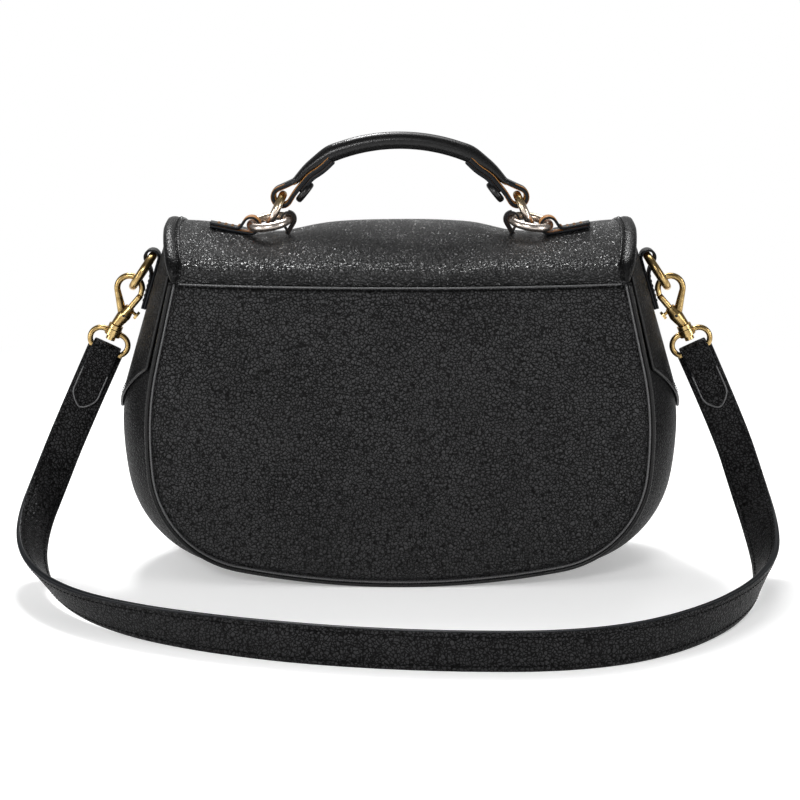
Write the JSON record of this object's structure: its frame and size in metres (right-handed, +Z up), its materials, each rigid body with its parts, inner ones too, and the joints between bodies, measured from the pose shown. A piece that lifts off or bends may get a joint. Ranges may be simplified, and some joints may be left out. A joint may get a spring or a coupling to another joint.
{
  "type": "saddle handbag",
  "caption": "Rounded leather saddle handbag with a bulged gusset, fold-over flap, ringed top handle and a shoulder strap on bolt snaps.",
  "frame": {"origin": "on the floor, under the middle of the body, half way between the seams of the two panels", "axes": "+X along the width, +Y from the back panel to the flap's front, +Z up"},
  "size_m": [0.3615, 0.2144, 0.2101],
  "materials": {
    "pebbled_leather": "pebbled, semi-matt black",
    "edge_leather": "smooth black, folded over a cord",
    "trim_leather": "smooth black with painted edges",
    "strap_leather": "pebbled black, stitched edges",
    "lining_cloth": "plain woven",
    "grip_cord": "twisted cord",
    "antique_brass": "brushed antique",
    "worn_brass": "pale worn plating",
    "steel": "plain",
    "black_stud": "satin black"
  },
  "bodies": {
    "bag": {"back_panel": "pebbled_leather", "back_pocket_panel": "pebbled_leather", "front_panel": "pebbled_leather", "gusset": "pebbled_leather", "back_piping": "edge_leather", "front_piping": "edge_leather", "lining": "lining_cloth", "closure_plate": "steel", "gusset_patch_left": "pebbled_leather", "gusset_patch_right": "pebbled_leather", "ring_tab_left": "trim_leather", "ring_tab_right": "trim_leather"},
    "flap": {"flap_leather": "pebbled_leather", "flap_lining": "lining_cloth", "flap_binding": "edge_leather", "flap_magnet": "steel", "top_tab_left": "trim_leather", "top_tab_right": "trim_leather", "ring_keeper_left": "trim_leather", "ring_keeper_right": "trim_leather", "base_ring_left": "worn_brass", "base_ring_right": "worn_brass"},
    "handle": {"handle_grip": "trim_leather", "handle_core": "grip_cord", "handle_end_strap_left": "trim_leather", "handle_end_strap_right": "trim_leather", "handle_ring_left": "worn_brass", "handle_ring_right": "worn_brass", "handle_stud_left": "black_stud", "handle_stud_right": "black_stud"},
    "strap": {"strap_drop_left": "strap_leather", "strap_floor_run": "strap_leather", "strap_drop_right": "strap_leather", "strap_end_left": "strap_leather", "strap_end_right": "strap_leather", "swivel_eye_left": "antique_brass", "swivel_eye_right": "antique_brass"},
    "side_ring_left": {"side_ring_left": "antique_brass"},
    "hook_left": {"snap_hook_left": "antique_brass", "bolt_spring_left": "steel"},
    "bolt_left": {"snap_bolt_left": "antique_brass"},
    "side_ring_right": {"side_ring_right": "antique_brass"},
    "hook_right": {"snap_hook_right": "antique_brass", "bolt_spring_right": "steel"},
    "bolt_right": {"snap_bolt_right": "antique_brass"}
  },
  "joints": [
    {"name": "flap_hinge", "type": "hinge", "parent": "bag", "child": "flap", "pos_m": [0, -0.0478, 0.143], "axis": [1, 0, 0], "range_deg": [0, 115]},
    {"name": "handle_swing", "type": "hinge", "parent": "flap", "child": "handle", "pos_m": [0, 0, 0.17001], "axis": [1, 0, 0], "range_deg": [-35, 20]},
    {"name": "strap_swing", "type": "hinge", "parent": "bag", "child": "strap", "pos_m": [0, 0, 0.1414], "axis": [-1, 0, 0], "range_deg": [0, 40]},
    {"name": "side_ring_left", "type": "hinge", "parent": "bag", "child": "side_ring_left", "pos_m": [-0.11793, 0, 0.15124], "axis": [0, 1, 0], "range_deg": [0, 4]},
    {"name": "hook_swivel_left", "type": "hinge", "parent": "strap", "child": "hook_left", "pos_m": [-0.13609, 0, 0.11822], "axis": [0.4226, 0, 0.9063], "range_deg": [-4, 4]},
    {"name": "bolt_slide_left", "type": "slide", "parent": "hook_left", "child": "bolt_left", "axis": [-0.6525, 0, -0.7577], "range_m": [0, 0.0045], "stiffness_N_per_m": 150, "springref_m": -0.004, "deforming": ["bolt_spring_left"]},
    {"name": "side_ring_right", "type": "hinge", "parent": "bag", "child": "side_ring_right", "pos_m": [0.11793, 0, 0.15124], "axis": [0, -1, 0], "range_deg": [0, 4]},
    {"name": "hook_swivel_right", "type": "hinge", "parent": "strap", "child": "hook_right", "pos_m": [0.13609, 0, 0.11822], "axis": [-0.4226, 0, 0.9063], "range_deg": [-4, 4]},
    {"name": "bolt_slide_right", "type": "slide", "parent": "hook_right", "child": "bolt_right", "axis": [0.6525, 0, -0.7577], "range_m": [0, 0.0045], "stiffness_N_per_m": 150, "springref_m": -0.004, "deforming": ["bolt_spring_right"]}
  ]
}
